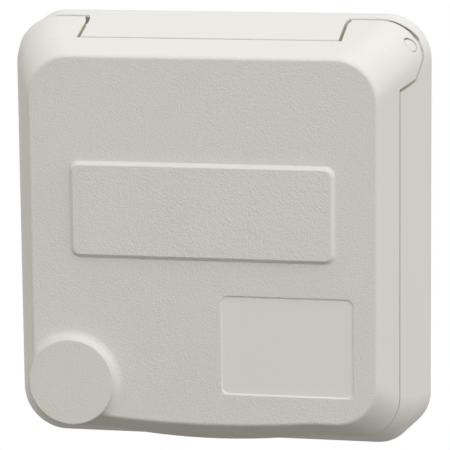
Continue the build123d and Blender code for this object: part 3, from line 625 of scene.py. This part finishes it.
shape.free()
cutter = add_piece("cross", cutter_mesh)

for side, word in ((1, "right"), (-1, "left")):
    blank = add_piece("blank", lathe("cover_screw", head, screw_sides))
    cut = blank.modifiers.new("cross", "BOOLEAN")
    cut.object, cut.operation, cut.solver = cutter, "DIFFERENCE", "EXACT"
    cut.use_self = True
    mesh = bpy.data.meshes.new_from_object(blank.evaluated_get(bpy.context.evaluated_depsgraph_get()))
    bpy.data.objects.remove(blank)
    mesh.materials.clear()
    mesh.materials.append(bright_steel)
    mesh.shade_smooth()
    mesh.set_sharp_from_angle(angle=math.radians(35))
    screw = add_piece("cover_screw_" + word, mesh)
    screw.location = (side * post_x, 0, 0)
    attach(screw, "housing")
    thread_path = []
    for step in range(thread_turns * thread_steps):
        angle = 2 * math.pi * step / thread_steps
        thread_path.append(Vector((side * post_x + shank * math.cos(angle),
                                   thread_start - step * pitch / thread_steps, shank * math.sin(angle))))
    thread = wire_piece("cover_screw_thread_" + word, thread_path, thread_radius, bright_steel)
    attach(thread, "housing")
    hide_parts("cover_screws")
    print(screw.name, "has", len(mesh.polygons), "faces")
bpy.data.objects.remove(cutter)

# %% [markdown]
# ## The floor
# The photograph shows the object on pure white, lit softly from above and a little from the right. A white
# surface behind it would do, but a bright floor throws light up at the object, and the photograph's underside is
# dark. Light Path tells the two apart: the floor is white for the camera, for reflections and through glass, and
# dark brown for the light that bounces. It is still a lit surface, so it keeps the object's shadow near the
# object, and further out it turns to plain white.

# %% Lay the floor
floor_mesh = bpy.data.meshes.new("floor")
shape = bmesh.new()
bmesh.ops.create_circle(shape, cap_ends=True, segments=96, radius=6.0)
shape.to_mesh(floor_mesh)
shape.free()
floor = add_piece("floor", floor_mesh)
floor.location = (0, 0, cad_box[0].z - 0.25)


def shown_mask(tree):
    """A value of 1 for the rays by which a surface is seen: straight, in a reflection or through glass."""
    path = add_node(tree, "ShaderNodeLightPath")
    seen = add_node(tree, "ShaderNodeMath", {0: path.outputs["Is Camera Ray"], 1: path.outputs["Is Glossy Ray"]},
                    operation="MAXIMUM")
    return add_node(tree, "ShaderNodeMath", {0: seen.outputs[0], 1: path.outputs["Is Transmission Ray"]},
                    operation="MAXIMUM").outputs[0]


floor_paint = bpy.data.materials.new("pale_floor")
floor_paint.use_nodes = True
tree = floor_paint.node_tree
tree.nodes.clear()
shown = shown_mask(tree)
tone = add_node(tree, "ShaderNodeMix", {0: shown, 6: (0.05, 0.035, 0.012, 1), 7: (0.97, 0.97, 0.97, 1)},
                data_type="RGBA")
lit = add_node(tree, "ShaderNodeBsdfDiffuse", {"Color": tone.outputs[2]})
white = add_node(tree, "ShaderNodeEmission", {"Color": (1, 1, 1, 1), "Strength": shown})
place = add_node(tree, "ShaderNodeTexCoord")
far = add_node(tree, "ShaderNodeVectorMath", {0: place.outputs["Object"]}, operation="LENGTH")
fade = add_node(tree, "ShaderNodeMapRange", {"Value": far.outputs["Value"], "From Min": 0.25, "From Max": 0.9})
fade_shown = add_node(tree, "ShaderNodeMath", {0: fade.outputs[0], 1: shown}, operation="MULTIPLY")
mixed = add_node(tree, "ShaderNodeMixShader", {0: fade_shown.outputs[0], 1: lit.outputs[0],
                                               2: white.outputs[0]})
add_node(tree, "ShaderNodeOutputMaterial", {"Surface": mixed.outputs[0]})
floor_mesh.materials.append(floor_paint)
print("floor at height", round(floor.location.z, 3))

# %% [markdown]
# ## The sky and the lamps
# The world is a white sky, weaker and warmer for the light that it sends from the left. On its own it would light
# every side nearly alike, so three large lamps shape the form: one overhead, a little bluish, one on the right,
# and a slightly weaker one in front. Large lamps close by make soft shadows, as a studio's light boxes do.

# %% Light the scene
world = bpy.data.worlds.new("studio")
world.use_nodes = True
tree = world.node_tree
tree.nodes.clear()
shown = shown_mask(tree)
direction = add_node(tree, "ShaderNodeTexCoord")
axes = add_node(tree, "ShaderNodeSeparateXYZ", {0: direction.outputs["Generated"]})
from_side = add_node(tree, "ShaderNodeMapRange", {"Value": axes.outputs[0], "From Min": -1.0, "From Max": 0.3})
cast = add_node(tree, "ShaderNodeMix", {0: from_side.outputs[0], 6: (0.67, 0.65, 0.60, 1), 7: (1, 1, 1, 1)},
                data_type="RGBA")
sky_color = add_node(tree, "ShaderNodeMix", {0: shown, 6: cast.outputs[2], 7: (1, 1, 1, 1)},
                     data_type="RGBA")
sky = add_node(tree, "ShaderNodeBackground", {"Color": sky_color.outputs[2], "Strength": 1.0})
add_node(tree, "ShaderNodeOutputWorld", {"Surface": sky.outputs[0]})
bpy.context.scene.world = world


def light_box(name, location, size, power, color):
    """A square lamp that faces the object."""
    data = bpy.data.lights.new(name, "AREA")
    data.size = size
    data.energy = power
    data.color = color
    lamp = bpy.data.objects.new(name, data)
    lamp.location = location
    lamp.rotation_mode = "QUATERNION"
    lamp.rotation_quaternion = Vector(location).to_track_quat("Z", "Y")
    bpy.context.scene.collection.objects.link(lamp)
    return lamp


light_box("overhead", (0.1, -0.35, 1.4), 1.1, 4.65, (0.80, 0.88, 1.0))
light_box("front", (-0.05, -1.6, 0.1), 1.0, 4.0, (0.99, 0.99, 0.99))
light_box("right_side", (1.5, -0.4, 0.2), 1.0, 5.5, (0.92, 0.95, 1.0))
bpy.context.scene.view_settings.view_transform = "Standard"
print("one sky and three light boxes")
